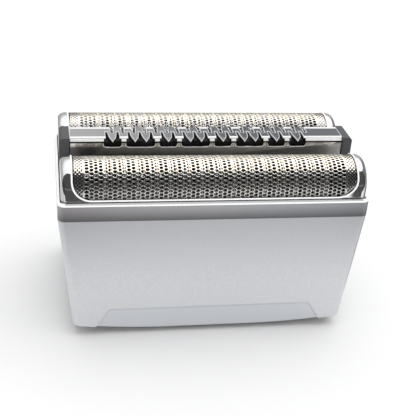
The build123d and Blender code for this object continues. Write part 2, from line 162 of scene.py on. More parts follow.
# satin silver paint with painted light: painted shade on the upper face, the facet and the upright band; the
# rim's bevel is a glowing white painted highlight, its inner half grey
paint = {
    "high": (0.51, 0.522, 0.545, 1), "low": (0.725, 0.74, 0.76, 1), "faceShadeFade": (8 * mm, 30 * mm),
    "fleck": (0.54, 0.56, 0.59, 1), "fleckShare": 0.2, "fleckFade": (0.35, 0.65),
    "bandFootShade": (0.09, 0.09, 0.094, 1), "bandLeft": (0.49, 0.475, 0.485, 1),
    "bandRight": (0.47, 0.49, 0.52, 1), "bandHeight": 3.42 * mm, "bandSink": 1.0 * mm, "bandEnds": 0.3,
    "rim": (0.97, 0.97, 0.97, 1), "rimFlat": (0.62, 0.62, 0.625, 1), "rimBevel": 0.42 * mm, "soft": 0.06 * mm,
    "rimInner": 0.16 * mm, "rimReach": 15.85 * mm, "rimWidth": 0.45 * mm, "endWidth": 1.3 * mm,
    "rimPaintedGlow": (0.2, 0.2, 0.2, 1), "noGlow": (0, 0, 0, 1), "flakeScale": 2600.0, "flakeDepth": 0.004 * mm,
    "facet": (0.67, 0.69, 0.73, 1), "facetEdgeShade": (0.56, 0.58, 0.62, 1), "facetTop": 4.7 * mm,
    "facetFoot": 22.5 * mm, "facetSlope": 3.0 / 4.7, "facetReach": 14.0 * mm, "facetSoft": 0.1 * mm,
    "facetLineEnd": 0.5 * mm, "creaseTop": 4.9 * mm,
    "metal": 0.45, "coat": 0.15, "rough": 0.36, "roughSpread": 0.1,
}


def silverPaint():
    material, bench, shader, place = newFinish("silverPaint", Coat_Roughness=0.2, Emission_Strength=1.0)
    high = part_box("housing_shell")[1]
    top, half, reach, soft = high.z, high.x, paint["rimReach"], paint["soft"]
    bandFoot, bevelFoot, inner = top - paint["bandHeight"], top - paint["rimBevel"], reach - paint["rimInner"]
    height = bench.split(place, "Z")
    along, depth = height.pick("X"), height.pick("Y")
    inBand = bench.fade(height, bandFoot - soft, bandFoot + soft)
    onLong = bench.fade(abs(depth), reach - paint["rimWidth"] - soft, reach - paint["rimWidth"])
    onEnd = bench.fade(abs(along), half - paint["endWidth"] - soft, half - paint["endWidth"])
    onRim = bench.fade(height, bevelFoot - soft, bevelFoot + soft) * bench.maths("MAXIMUM", onLong, onEnd)
    flat = (1.0 - bench.fade(abs(depth), inner - soft, inner)) * (1.0 - onEnd)
    flake = bench.noise(place, paint["flakeScale"])
    # painted shade: the face is lighter towards its foot, where floor light falls, and darker towards the top
    face = bench.blend(bench.fade(height, *paint["faceShadeFade"]), paint["low"], paint["high"])
    face = bench.blend(bench.fade(flake, *paint["fleckFade"]) * paint["fleckShare"], face, paint["fleck"])
    # painted shade: the recessed facet low on the housing is darker and bluer, with a darker line along its
    # edge
    inset = bench.maths("MINIMUM", paint["facetTop"] - height,
                        paint["facetFoot"] - paint["facetSlope"] * height - abs(along))
    edge = paint["facetSoft"]
    sunk = bench.fade(inset, -edge, edge) * (abs(depth) > paint["facetReach"])
    facet = bench.blend(bench.fade(inset, edge, paint["facetLineEnd"]), paint["facetEdgeShade"], paint["facet"])
    face = bench.blend(sunk, face, facet)
    # painted shade: the upright band is darkest at its foot and towards its ends; its tone changing from left
    # to right is a painted reflection
    bandShadeFade = bench.fade(height, bandFoot - paint["bandSink"], top)
    bandShadeFade = bandShadeFade * (1.0 - paint["bandEnds"] * (along / half) * (along / half))
    band = bench.blend(bench.fade(along, -half, half), paint["bandLeft"], paint["bandRight"])
    band = bench.blend(bandShadeFade, paint["bandFootShade"], band)
    # painted highlight: the rim's bevel and the tops of the end walls are painted white, non-metallic and
    # glowing; the bevel's inner flat half is painted grey
    rim = bench.blend(flat, paint["rim"], paint["rimFlat"])
    tone = bench.blend(onRim, bench.blend(inBand, face, band), rim)
    glow = bench.blend(onRim * (1.0 - flat), paint["noGlow"], paint["rimPaintedGlow"])
    feed(bench, shader, Base_Color=tone, Metallic=paint["metal"] - paint["metal"] * onRim,
         Roughness=paint["rough"] + paint["roughSpread"] * flake,
         Coat_Weight=paint["coat"] - paint["coat"] * onRim, Emission_Color=glow)
    bumpFrom(bench, shader, flake, paint["flakeDepth"])
    return material


# chrome plating of the foil frames, with painted shade on the lower part of their ends, and the bead painted
# as a glowing highlight
chrome = {
    "tone": (0.90, 0.90, 0.91, 1), "dull": (0.80, 0.80, 0.81, 1), "rough": 0.04, "roughSpread": 0.09,
    "smudgeScale": 300.0, "smudgeDetail": 4.0, "rippleScale": 160.0, "rippleDepth": 0.02 * mm,
    "endShade": (0.52, 0.52, 0.535, 1), "endFade": 1.1 * mm, "endTop": 30.0 * mm,
    "paintedHighlight": (0.98, 0.98, 0.98, 1), "highlightRough": 0.22, "highlightSpread": 0.1, "highlightMetal": 0.1,
    "beadPaintedGlow": 0.30,
}


def chromePlate():
    material, bench, shader, place = newFinish("chromePlate", Metallic=1.0)
    smudge = bench.noise(place, chrome["smudgeScale"], chrome["smudgeDetail"])
    ripple = bench.noise(place, chrome["rippleScale"], 1.0)
    along = bench.split(place, "X")
    end, fade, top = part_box("front_foil_frame")[1].x, chrome["endFade"], chrome["endTop"]
    # painted shade: the frame's ends are greyer below endTop
    atEnd = bench.fade(abs(along), end - fade, end - fade * fadeEnd)
    atEnd = atEnd * (1.0 - bench.fade(along.pick("Z"), top, top + fade))
    plate = bench.blend(smudge, chrome["dull"], chrome["tone"])
    feed(bench, shader, Base_Color=bench.blend(atEnd, plate, chrome["endShade"]),
         Roughness=chrome["rough"] + chrome["roughSpread"] * smudge)
    bumpFrom(bench, shader, ripple, chrome["rippleDepth"])
    return material


def paintedHighlight(name, tone, worn, glow):
    # painted highlight: an edge painted light, barely metallic and glowing, in place of the light the plate
    # would mirror
    material, bench, shader, place = newFinish(
        name, Metallic=chrome["highlightMetal"], Emission_Color=(1, 1, 1, 1), Emission_Strength=glow)
    smudge = bench.noise(place, chrome["smudgeScale"], chrome["smudgeDetail"])
    feed(bench, shader, Base_Color=bench.blend(smudge, worn, tone),
         Roughness=chrome["highlightRough"] + chrome["highlightSpread"] * smudge)
    return material


# etched foil: champagne steel with painted shade, greyer on its sides, dark towards the trimmer and
# near-black under its skin; with a fine lattice, and a dark seam line on its plain ends that is painted shade
# where the foil meets the frame
foil = {
    "columnPitch": 0.83 * mm, "rowPitch": 0.70 * mm, "endMargin": 1.9 * mm, "edgeMargin": 0.7 * mm,
    "holeShare": 0.68, "barRelief": 0.08 * mm, "thickness": 0.10 * mm, "sharpAngle": radians(60),
    "tone": (0.79, 0.745, 0.665, 1), "side": (0.71, 0.705, 0.69, 1), "sideTop": 2.6 * mm,
    "sideFade": 0.8 * mm, "flankShade": (0.36, 0.352, 0.34, 1), "flankFoot": 3.4 * mm, "flankTop": 4.4 * mm,
    "inside": (0.05, 0.045, 0.04, 1), "insideFrom": 0.06 * mm, "insideTo": 0.01 * mm,
    "latticePitch": 0.70 * mm, "latticeFade": (-0.25, 0.35), "latticeStart": 0.2 * mm,
    "latticeDepth": 0.02 * mm, "latticeDarkAndSeamShade": (0.12, 0.11, 0.10, 1), "seam": 25.95 * mm, "seamFade": 0.1 * mm,
    "grainScale": 2500.0, "rough": 0.10, "roughSpread": 0.12,
}


def overArch(bench, place, node):
    # the arch's radius, the height over its axis, the distance from it, and a mask of the side towards the
    # trimmer, where shade is painted
    low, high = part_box(node)
    radius, centre = (high.y - low.y) / 2, abs(low.y + high.y) / 2
    depth = bench.split(place, "Y")
    aside = abs(depth) - centre
    rise = bench.maths("MAXIMUM", depth.pick("Z") - (high.z - radius), 0.0)
    reach = bench.maths("SQRT", aside * aside + rise * rise)
    inner = (aside < 0.0) * (1.0 - bench.fade(rise, foil["flankFoot"], foil["flankTop"]))
    return radius, rise, reach, inner


def foilSteel():
    material, bench, shader, place = newFinish("foilSteel", Metallic=1.0)
    flat = bench.add("ShaderNodeAttribute", {"attribute_name": "flatPlace"}, out="Vector")
    along = bench.split(flat, "X")
    turn = 2 * pi / foil["latticePitch"]
    lattice = bench.maths("SINE", along * turn) * bench.maths("SINE", along.pick("Y") * turn)
    low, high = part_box("front_foil")
    openHalf = (high.x - low.x) / 2 - foil["endMargin"]
    atEnd = bench.fade(abs(along), openHalf, openHalf + foil["latticeStart"])
    pits = bench.fade(lattice, *foil["latticeFade"]) * atEnd
    # painted shade: a dark line at the very ends of the plain strips, where the foil meets the frame
    seam = bench.fade(abs(along), foil["seam"], foil["seam"] + foil["seamFade"])
    grain = bench.noise(place, foil["grainScale"])
    radius, rise, reach, inner = overArch(bench, place, "front_foil")
    skin = radius - foil["barRelief"]
    # painted shade: faces under the foil's skin, down the holes and beneath, are painted near-black
    outside = bench.fade(reach, skin - foil["insideFrom"], skin - foil["insideTo"])
    # painted shade: the foil's sides are greyer than its crown
    crown = bench.fade(rise, foil["sideTop"], foil["sideTop"] + foil["sideFade"])
    tone = bench.blend(crown, foil["side"], foil["tone"])
    tone = bench.blend(bench.maths("MAXIMUM", pits, seam), tone, foil["latticeDarkAndSeamShade"])
    # painted shade: the foil's face towards the trimmer darkens towards its foot
    tone = bench.blend(inner, tone, foil["flankShade"])
    feed(bench, shader, Base_Color=bench.blend(outside, foil["inside"], tone),
         Roughness=foil["rough"] + foil["roughSpread"] * grain)
    bumpFrom(bench, shader, lattice * atEnd, foil["latticeDepth"])
    return material


# drawn steel of the springs and the trimmer's blade
drawnSteel = {"cloudScale": 140.0, "cloudShare": 0.4, "depth": 0.003 * mm}


def steel(name, tone, dull, roughness, spread, lines):
    material, bench, shader, place = newFinish(name, Metallic=1.0)
    drawn = bench.drawn(place, lines)
    cloud = bench.noise(place, drawnSteel["cloudScale"], 3.0)
    share = drawnSteel["cloudShare"]
    feed(bench, shader, Base_Color=bench.blend(drawn * (1 - share) + cloud * share, dull, tone),
         Roughness=roughness + spread * drawn)
    bumpFrom(bench, shader, drawn, drawnSteel["depth"])
    return material


# trimmer comb: zigzag ribbon of grey sheet, light at the left and dark to the right as painted reflection;
# long teeth bend down over the guard with tips in painted shade, and between them the front edge rolls down;
# both edges are painted white as a painted highlight
comb = {
    "left": (0.57, 0.57, 0.575, 1), "dipReflection": (0.16, 0.17, 0.19, 1), "right": (0.20, 0.21, 0.235, 1),
    "dipAt": 8.0 * mm, "tipLeft": (0.45, 0.45, 0.45, 1), "tipRight": (0.15, 0.16, 0.18, 1),
    "tipDrop": 0.05 * mm, "rollHighlight": (0.95, 0.95, 0.94, 1), "rollStart": 1.9 * mm, "rollDrop": 0.2 * mm,
    "rollFade": 0.1 * mm, "rearStart": 1.5 * mm, "lines": 5000.0, "lineDepth": 0.004 * mm,
    "rough": 0.26, "roughSpread": 0.12, "edge": (0.64, 0.65, 0.66, 1), "edgeWorn": (0.54, 0.55, 0.56, 1),
    "edgePaintedGlow": 0.2, "cutEdge": 0.12 * mm, "sheet": 0.25 * mm, "half": 2.35 * mm, "reach": 0.65 * mm,
    "drop": 0.7 * mm, "taper": 1.4 * mm, "knee": 0.62 * mm, "slot": 0.5 * mm, "slotEnd": 0.4 * mm,
    "slotSteps": 6, "pitch": 2.11 * mm, "teeth": 18, "stagger": 0.25, "short": (1, 4, 6, 9, 11, 14, 16),
    "rows": (1.8, 1.95, 2.08, 2.2, 2.35, 2.6), "sharpAngle": radians(30),
}


def combSteel():
    material, bench, shader, place = newFinish("combSteel")
    low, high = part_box("trimmer_comb")
    along = bench.split(place, "X")
    depth = along.pick("Y")
    drawn = bench.drawn(place, comb["lines"])
    across = bench.fade(along, low.x, high.x)
    flat = bench.fade(along.pick("Z"), high.z - comb["tipDrop"], high.z - comb["tipDrop"] * fadeEnd)
    rolled = bench.add("ShaderNodeAttribute", {"attribute_name": "rolled"}, out="Fac")
    # painted highlight: the rolled front and rear edges are painted white and non-metallic
    atFront = bench.fade(depth * -1.0, comb["rollStart"], comb["rollStart"] + comb["rollFade"])
    atRear = bench.fade(depth, comb["rearStart"], comb["rearStart"] + comb["rollFade"])
    edge = rolled * bench.maths("MAXIMUM", atFront, atRear)
    # painted reflection: the sheet is light at the left and dark from dipAt to the right
    sheet = bench.blend(bench.fade(along, low.x, comb["dipAt"]), comb["left"], comb["dipReflection"])
    sheet = bench.blend(bench.fade(along, comb["dipAt"], high.x), sheet, comb["right"])
    # painted shade: the bent-down tips are non-metallic, lighter at the left and darker at the right
    tip = bench.blend(across, comb["tipLeft"], comb["tipRight"])
    tone = bench.blend(edge, bench.blend(flat, tip, sheet), comb["rollHighlight"])
    feed(bench, shader, Base_Color=tone, Metallic=flat * (1.0 - edge),
         Roughness=comb["rough"] + comb["roughSpread"] * drawn)
    bumpFrom(bench, shader, drawn, comb["lineDepth"])
    return material


# trimmer guard: bright beige outside above and darker below as painted reflection; a painted highlight along
# the top with a painted dark reflection line below; painted black on its inner faces and along the spine as
# painted shade
guard = {
    "tone": (0.88, 0.84, 0.77, 1), "dull": (0.74, 0.70, 0.64, 1), "lowLeft": (0.24, 0.232, 0.222, 1),
    "lowRight": (0.56, 0.545, 0.52, 1), "lowTop": 1.75 * mm, "lowFade": 0.4 * mm,
    "paintedTopHighlight": (0.95, 0.95, 0.94, 1), "highlightFoot": 0.47 * mm, "line": (0.07, 0.068, 0.065, 1),
    "lineFoot": 0.78 * mm, "soft": 0.05 * mm, "inside": (0.022, 0.021, 0.020, 1), "insideFrom": 0.01 * mm,
    "insideTo": 0.06 * mm,
    "bend": (1.9 * mm, 2.0 * mm), "bendTop": 0.6 * mm, "drawnLines": 4000.0, "drawnDepth": 0.001 * mm,
    "rough": 0.38, "roughDrop": 0.18, "roughSpread": 0.08, "sheet": 0.25 * mm, "round": 0.8 * mm, "bends": 8,
    "spineHalf": 0.5 * mm, "windowRise": 1.55 * mm, "windowRound": 0.5 * mm, "windowSteps": 5,
    "bridge": 0.95 * mm, "edge": 0.06 * mm, "edgeAngle": radians(40), "sharpAngle": radians(35),
    "lip": 0.06 * mm, "lipGap": 0.12 * mm, "lipAngle": radians(40),
}


def guardSteel():
    material, bench, shader, place = newFinish("guardSteel")
    low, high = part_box("trimmer_guard")
    depth = bench.split(place, "Y")
    height = depth.pick("Z")
    drop = high.z - height
    drawn = bench.drawn(place, guard["drawnLines"])
    skin, lowTop = high.y - guard["sheet"], high.z - guard["lowTop"]
    # painted shade: the channel's inner faces and the spine between the bends are painted near-black
    within = bench.fade(abs(depth), skin + guard["insideFrom"], skin + guard["insideTo"])
    bent = bench.fade(height, high.z - guard["round"], high.z - guard["bendTop"])
    shown = bench.maths("MAXIMUM", within, bench.fade(abs(depth), *guard["bend"]) * bent)
    # painted reflection: the outside is bright beige above lowTop and dark below it, lighter from left to
    # right
    bright = bench.fade(height, lowTop, lowTop + guard["lowFade"])
    face = bench.blend(bench.fade(depth.pick("X"), low.x, high.x), guard["lowLeft"], guard["lowRight"])
    tone = bench.blend(bright, face, bench.blend(drawn, guard["dull"], guard["tone"]))
    # painted reflection: a dark line along the bend below the highlight
    darkReflectionLine = bench.fade(drop, guard["lineFoot"], guard["lineFoot"] + guard["soft"])
    tone = bench.blend(darkReflectionLine, guard["line"], tone)
    # painted highlight: the top of the bend is painted near-white and non-metallic
    paintedTopHighlight = 1.0 - bench.fade(drop, guard["highlightFoot"], guard["highlightFoot"] + guard["soft"])
    tone = bench.blend(paintedTopHighlight, tone, guard["paintedTopHighlight"])
    rough = guard["rough"] - guard["roughDrop"] * bright
    feed(bench, shader, Base_Color=bench.blend(shown, guard["inside"], tone), Metallic=1.0 - paintedTopHighlight * shown,
         Roughness=rough + guard["roughSpread"] * drawn)
    bumpFrom(bench, shader, drawn, guard["drawnDepth"])
    return material


# moulded plastic with a spark-eroded grain
plastic = {"cloudScale": 90.0, "grainShare": 0.3, "roughSpread": 0.15, "depth": 0.01 * mm}


def moulded(name, tone, worn, grain, roughness):
    material, bench, shader, place = newFinish(name)
    skin = bench.noise(place, grain, 3.0)
    cloud = bench.noise(place, plastic["cloudScale"])
    share = plastic["grainShare"]
    feed(bench, shader, Base_Color=bench.blend(cloud * (1 - share) + skin * share, tone, worn),
         Roughness=roughness + plastic["roughSpread"] * skin)
    bumpFrom(bench, shader, skin, plastic["depth"])
    return material


finishes = {
    "silver": silverPaint(),
    "chrome": chromePlate(),
    # painted highlights: the frames' bead, the comb's cut edges and the guard's lips are painted light and
    # glow
    "bead": paintedHighlight("beadPaintedHighlight", chrome["paintedHighlight"], chrome["tone"], chrome["beadPaintedGlow"]),
    "edge": paintedHighlight("edgePaintedHighlight", comb["edge"], comb["edgeWorn"], comb["edgePaintedGlow"]),
    "foil": foilSteel(),
    "comb": combSteel(),
    "guard": guardSteel(),
    # painted shade: the trimmer's blade, inside the guard, is painted as near-black steel
    "black": steel("shadedBladeSteel", (0.050, 0.048, 0.045, 1), (0.030, 0.029, 0.027, 1), 0.35, 0.12, 6000.0),
    "spring": steel("springSteel", (0.66, 0.65, 0.63, 1), (0.50, 0.50, 0.49, 1), 0.20, 0.15, 5000.0),
    "dark": moulded("darkPlastic", (0.014, 0.015, 0.018, 1), (0.022, 0.024, 0.027, 1), 7000.0, 0.40),
    "cap": moulded("capPlastic", (0.066, 0.070, 0.075, 1), (0.098, 0.102, 0.108, 1), 7000.0, 0.38),
    "grey": moulded("greyPlastic", (0.10, 0.10, 0.105, 1), (0.14, 0.14, 0.145, 1), 6000.0, 0.42),
}
print("finishes made:", len(finishes))


def newTree(name, inputs):
    # an empty geometry tree with named inputs, each reached as a wire
    tree = bpy.data.node_groups.new(name, "GeometryNodeTree")
    for label, kind in inputs.items():
        tree.interface.new_socket(label, in_out="INPUT", socket_type="NodeSocket" + kind)
    tree.interface.new_socket("Geometry", in_out="OUTPUT", socket_type="NodeSocketGeometry")
    bench = Bench(tree)
    entry = tree.nodes.new("NodeGroupInput")
    return tree, bench, {label: Wire(bench, entry.outputs[label]) for label in inputs}


def closeTree(bench, shape, finish):
    shape = bench.add("GeometryNodeRealizeInstances", None, {"Geometry": shape})
    shape = bench.add("GeometryNodeSetMaterial", None, {"Geometry": shape, "Material": finish})
    bench.add("NodeGroupOutput", None, {"Geometry": shape})


def stand(name, data):
    # a new object in the scene
    thing = bpy.data.objects.new(name, data)
    scene.collection.objects.link(thing)
    return thing


def settle(piece):
    # what the modifiers make, as a plain mesh; the piece itself goes
    ready = bpy.context.evaluated_depsgraph_get()
    mesh = bpy.data.meshes.new_from_object(piece.evaluated_get(ready), depsgraph=ready)
    bpy.data.objects.remove(piece)
    return mesh


def thicken(piece, wall):
    solid = piece.modifiers.new("wall", "SOLIDIFY")
    solid.thickness = wall
    solid.offset = -1.0


def grow(name, tree, sizes, wall=None):
    # runs a tree once and keeps what it makes as a plain mesh
    seed = stand(name + "Seed", bpy.data.meshes.new(name + "Seed"))
    modifier = seed.modifiers.new("grow", "NODES")
    modifier.node_group = tree
    for item in tree.interface.items_tree:
        if item.in_out == "INPUT":
            modifier[item.identifier] = sizes[item.name]
    if wall:
        thicken(seed, wall)
    mesh = settle(seed)
    mesh.name = name
    return stand(name, mesh)


def shadeByAngle(piece, angle):
    for face in piece.data.polygons:
        face.use_smooth = True
    piece.data.set_sharp_from_angle(angle=angle)


def foilTree():
    # a staggered grid turned into six-sided cells, opened, and bent over the foil's arch
    tree, bench, size = newTree("perforatedFoil", {
        "Length": "Float", "Half span": "Float", "Columns": "Int", "Rows": "Int", "Row pitch": "Float",
        "Open half": "Float", "Open span": "Float", "Hole share": "Float", "Relief": "Float",
        "Radius": "Float", "Centre": "Float", "Axis height": "Float", "Finish": "Material"})
    grid = bench.add("GeometryNodeMeshGrid", None, {
        "Size X": size["Length"], "Size Y": size["Half span"] * 2 - size["Row pitch"] * 0.5,
        "Vertices X": size["Columns"], "Vertices Y": size["Rows"]})
    place = bench.add("GeometryNodeInputPosition")
    index = bench.add("GeometryNodeInputIndex")
    column = bench.maths("FLOOR", index / size["Rows"])
    odd = bench.maths("MODULO", column, 2.0)
    lift = bench.combine(Y=(odd - 0.5) * size["Row pitch"] * 0.5)
    sheet = bench.add("GeometryNodeSetPosition", None, {"Geometry": grid, "Offset": lift})
    sheet = bench.add("GeometryNodeTriangulate", {"quad_method": "SHORTEST_DIAGONAL"}, {"Mesh": sheet})
    cells = bench.add("GeometryNodeDualMesh", None, {"Mesh": sheet, "Keep Boundaries": True})
    along = bench.split(place, "X")
    around = along.pick("Y")
    opened = (abs(along) < size["Open half"]) * (abs(around) < size["Open span"])
    rings = bench.add("GeometryNodeExtrudeMesh", None, {
        "Mesh": cells, "Selection": opened, "Offset Scale": size["Relief"] * -1.0, "Individual": True})
    lids = rings.pick("Top")
    rings = bench.add("GeometryNodeScaleElements", None, {
        "Geometry": rings, "Selection": lids, "Scale": size["Hole share"]})
    net = bench.add("GeometryNodeDeleteGeometry", {"domain": "FACE"}, {"Geometry": rings, "Selection": lids})
    net = bench.add("GeometryNodeStoreNamedAttribute", {"data_type": "FLOAT_VECTOR"}, {
        "Geometry": net, "Name": "flatPlace", "Value": place})
    turn = bench.maths("MINIMUM", bench.maths("MAXIMUM", around / size["Radius"], -pi / 2), pi / 2)
    straight = bench.maths("MAXIMUM", abs(around) - size["Radius"] * (pi / 2), 0.0)
    reach = size["Radius"] + along.pick("Z")
    bent = bench.combine(X=along, Y=size["Centre"] + reach * bench.maths("SINE", turn),
                         Z=size["Axis height"] + reach * bench.maths("COSINE", turn) - straight)
    net = bench.add("GeometryNodeSetPosition", None, {"Geometry": net, "Position": bent})
    closeTree(bench, net, size["Finish"])
    return tree


def makeFoil(tree, side):
    node = side + "_foil"
    low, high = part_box(node)
    radius = (high.y - low.y) / 2
    length = high.x - low.x
    axis = high.z - radius
    halfSpan = radius * pi / 2 + axis - low.z
    columns = round(length / foil["columnPitch"]) + 1
    rows = round(2 * halfSpan / foil["rowPitch"])
    piece = grow(side + "_foil_net", tree, {
        "Length": length, "Half span": halfSpan, "Columns": columns, "Rows": rows,
        "Row pitch": 2 * halfSpan / (rows - 0.5), "Open half": length / 2 - foil["endMargin"],
        "Open span": halfSpan - foil["edgeMargin"], "Hole share": foil["holeShare"],
        "Relief": foil["barRelief"], "Radius": radius,
        "Centre": (low.y + high.y) / 2, "Axis height": axis, "Finish": finishes["foil"]}, foil["thickness"])
    shadeByAngle(piece, foil["sharpAngle"])
    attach(piece, side + "_foil_unit")
    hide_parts(node)


# row of thin bent blades that stand on the carrier under each foil
cutter = {
    "pitch": 1.18 * mm, "thickness": 0.30 * mm, "band": 1.1 * mm, "arcSteps": 28, "edge": 0.16 * mm,
    "ground": (0.80, 0.70, 0.56, 1), "flankShade": (0.06, 0.055, 0.05, 1), "sharpAngle": radians(40),
    "glint": (0.46, 0.37, 0.27, 1), "noGlint": (0, 0, 0, 1), "glintFoot": 2.7 * mm, "glintTop": 3.2 * mm,
}


def groundSteel():
    # blades are bright only along the ground cutting edge; elsewhere they are near-black as painted shade,
    # and near the crown the edge glows as a painted glint
    material, bench, shader, place = newFinish(
        "groundSteel", Metallic=1.0, Roughness=0.3, Emission_Strength=1.0)
    radius, rise, reach, inner = overArch(bench, place, "front_blades")
    edge = bench.fade(reach, radius - cutter["edge"], radius - cutter["edge"] * fadeEnd)
    # painted glint: the ground edge glows near the crown, not on the face towards the trimmer
    paintedGlint = edge * bench.fade(rise, cutter["glintFoot"], cutter["glintTop"]) * (1.0 - inner)
    # painted shade: away from the ground edge the blade is near-black
    feed(bench, shader, Base_Color=bench.blend(edge, cutter["flankShade"], cutter["ground"]),
         Emission_Color=bench.blend(paintedGlint, cutter["noGlint"], cutter["glint"]))
    return material


finishes["ground"] = groundSteel()


def bladeTree():
    tree, bench, size = newTree("bladeRow", {
        "Count": "Int", "Pitch": "Float", "Thickness": "Float", "Band": "Float", "Radius": "Float",
        "Leg": "Float", "Steps": "Int", "First": "Vector", "Finish": "Material"})
    middle = size["Radius"] - size["Band"] * 0.5
    arc = bench.add("GeometryNodeCurveArc", None, {
        "Resolution": size["Steps"], "Radius": middle, "Start Angle": 0.0, "Sweep Angle": pi})
    legs = []
    for hand in (-1.0, 1.0):
        top = bench.combine(X=middle * hand)
        foot = bench.combine(X=middle * hand, Y=size["Leg"] * -1.0)
        legs.append(bench.add("GeometryNodeCurvePrimitiveLine", None, {"Start": top, "End": foot}))
    join = bench.tree.nodes.new("GeometryNodeJoinGeometry")
    for part in (arc, *legs):
        bench.tree.links.new(part.socket, join.inputs[0])
    section = bench.add("GeometryNodeCurvePrimitiveQuadrilateral", None, {
        "Width": size["Band"], "Height": size["Thickness"]})
    blade = bench.add("GeometryNodeCurveToMesh", None, {
        "Curve": Wire(bench, join.outputs[0]), "Profile Curve": section, "Fill Caps": True})
    blade = bench.add("GeometryNodeTransform", None, {"Geometry": blade, "Rotation": (pi / 2, 0.0, pi / 2)})
    step = bench.combine(X=size["Pitch"])
    line = bench.add("GeometryNodeMeshLine", None, {
        "Count": size["Count"], "Start Location": size["First"], "Offset": step})
    row = bench.add("GeometryNodeInstanceOnPoints", None, {"Points": line, "Instance": blade})
    closeTree(bench, row, size["Finish"])
    return tree


def makeBlades(tree, side):
    node = side + "_blades"
    low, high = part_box(node)
    radius = (high.y - low.y) / 2
    length = high.x - low.x - cutter["thickness"]
    count = round(length / cutter["pitch"]) + 1
    axis = high.z - radius
    piece = grow(side + "_blade_row", tree, {
        "Count": count, "Pitch": length / (count - 1), "Thickness": cutter["thickness"],
        "Band": cutter["band"], "Radius": radius, "Leg": axis - low.z, "Steps": cutter["arcSteps"],
        "First": Vector((-length / 2, (low.y + high.y) / 2, axis)), "Finish": finishes["ground"]})
    shadeByAngle(piece, cutter["sharpAngle"])
    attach(piece, side + "_cutter")
    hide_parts(node)


# round wire springs under the cutters and the trimmer, with the wire's radius and the turns of each
coils = {"cutter": (0.28 * mm, 4.5), "trimmer": (0.2 * mm, 8.0), "travel": 2.0 * mm, "inset": 1.6,
         "ringSteps": 28, "wireSteps": 10, "sharpAngle": radians(50)}


def springTree():
    tree, bench, size = newTree("coilSpring", {
        "Turns": "Float", "Coil radius": "Float", "Wire radius": "Float", "Height": "Float", "Foot": "Vector",
        "Ring steps": "Int", "Wire steps": "Int", "Finish": "Material"})
    helix = bench.add("GeometryNodeCurveSpiral", None, {
        "Resolution": size["Ring steps"], "Rotations": size["Turns"], "Start Radius": size["Coil radius"],
        "End Radius": size["Coil radius"], "Height": size["Height"]})
    ring = bench.add("GeometryNodeCurvePrimitiveCircle", None, {
        "Resolution": size["Wire steps"], "Radius": size["Wire radius"]})
    wire = bench.add("GeometryNodeCurveToMesh", None, {
        "Curve": helix, "Profile Curve": ring, "Fill Caps": True})
    wire = bench.add("GeometryNodeTransform", None, {"Geometry": wire, "Translation": size["Foot"]})
    closeTree(bench, wire, size["Finish"])
    return tree


def makeSpring(tree, node, body, kind):
    low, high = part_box(node)
    (wireRadius, turns), travel = coils[kind], coils["travel"]
    foot = Vector(((low.x + high.x) / 2, (low.y + high.y) / 2, low.z + wireRadius))
    piece = grow(node + "_wire", tree, {
        "Turns": turns, "Coil radius": (high.x - low.x) / 2 - wireRadius * coils["inset"],
        "Wire radius": wireRadius, "Height": high.z - low.z - 2 * wireRadius, "Foot": foot,
        "Ring steps": coils["ringSteps"], "Wire steps": coils["wireSteps"], "Finish": finishes["spring"]})
    shadeByAngle(piece, coils["sharpAngle"])
    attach(piece, body)
    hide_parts(node)
    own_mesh(piece)


def prism(name, outline, start, finish, axis):
    # a straight solid along one axis, its outline given in the other two directions
    points = []
    for level in (start, finish):
        for point in outline:
            place = list(point)
            place.insert(axis, level)
            points.append(place)
    count = len(outline)
    walls = [(i, (i + 1) % count, (i + 1) % count + count, i + count) for i in range(count)]
    return solidFrom(name, points, [tuple(range(count)), tuple(range(count, 2 * count))] + walls)


def solidFrom(name, points, faces):
    mesh = bpy.data.meshes.new(name)
    mesh.from_pydata(points, [], faces)
    build = bmesh.new()
    build.from_mesh(mesh)
    bmesh.ops.recalc_face_normals(build, faces=build.faces)
    build.to_mesh(mesh)
    build.free()
    return stand(name, mesh)


def cutWith(piece, tool):
    modifier = piece.modifiers.new("cut", "BOOLEAN")
    modifier.operation = "DIFFERENCE"
    modifier.object = tool
    return tool


def soften(piece, width, angle):
    bevel = piece.modifiers.new("edges", "BEVEL")
    bevel.width = width
    bevel.segments = 2
    bevel.limit_method = "ANGLE"
    bevel.angle_limit = angle


def gather(name, meshes, finish, sharp):
    # several plain meshes as one piece with one finish
    build = bmesh.new()
    for mesh in meshes:
        build.from_mesh(mesh)
    for face in build.faces:
        face.material_index = 0
    mesh = bpy.data.meshes.new(name)
    build.to_mesh(mesh)
    build.free()
    mesh.materials.append(finishes[finish])
    piece = stand(name, mesh)
    shadeByAngle(piece, sharp)
    return piece


def tube(path, radius, closed=False):
    # round wire along a path, as a plain mesh
    line = bpy.data.curves.new("wire", "CURVE")
    line.dimensions = "3D"
    line.bevel_depth = radius
    line.bevel_resolution = 3
    line.use_fill_caps = True
    spline = line.splines.new("POLY")
    spline.points.add(len(path) - 1)
    for point, place in zip(spline.points, path):
        point.co = (*place, 1.0)
    spline.use_cyclic_u = closed
    return settle(stand("wire", line))


def rounded(centre, radius, first, sweep, steps):
    turns = (first + sweep * step / steps for step in range(steps + 1))
    return [(centre[0] + radius * cos(turn), centre[1] + radius * sin(turn)) for turn in turns]


def box(width, depth, x=0.0, y=0.0):
    return [(x - width / 2, y - depth / 2), (x + width / 2, y - depth / 2), (x + width / 2, y + depth / 2),
            (x - width / 2, y + depth / 2)]


def toothPlace(number):
    return (number - comb["teeth"] / 2 + comb["stagger"]) * comb["pitch"]


def isLong(x, y=-1.0):
    # whether a long tooth stands at x on the front edge, or on the rear edge for a positive y
    number = round((x if y < 0 else -x) / comb["pitch"] + comb["teeth"] / 2 - comb["stagger"])
    return 0 <= number < comb["teeth"] and number not in comb["short"]


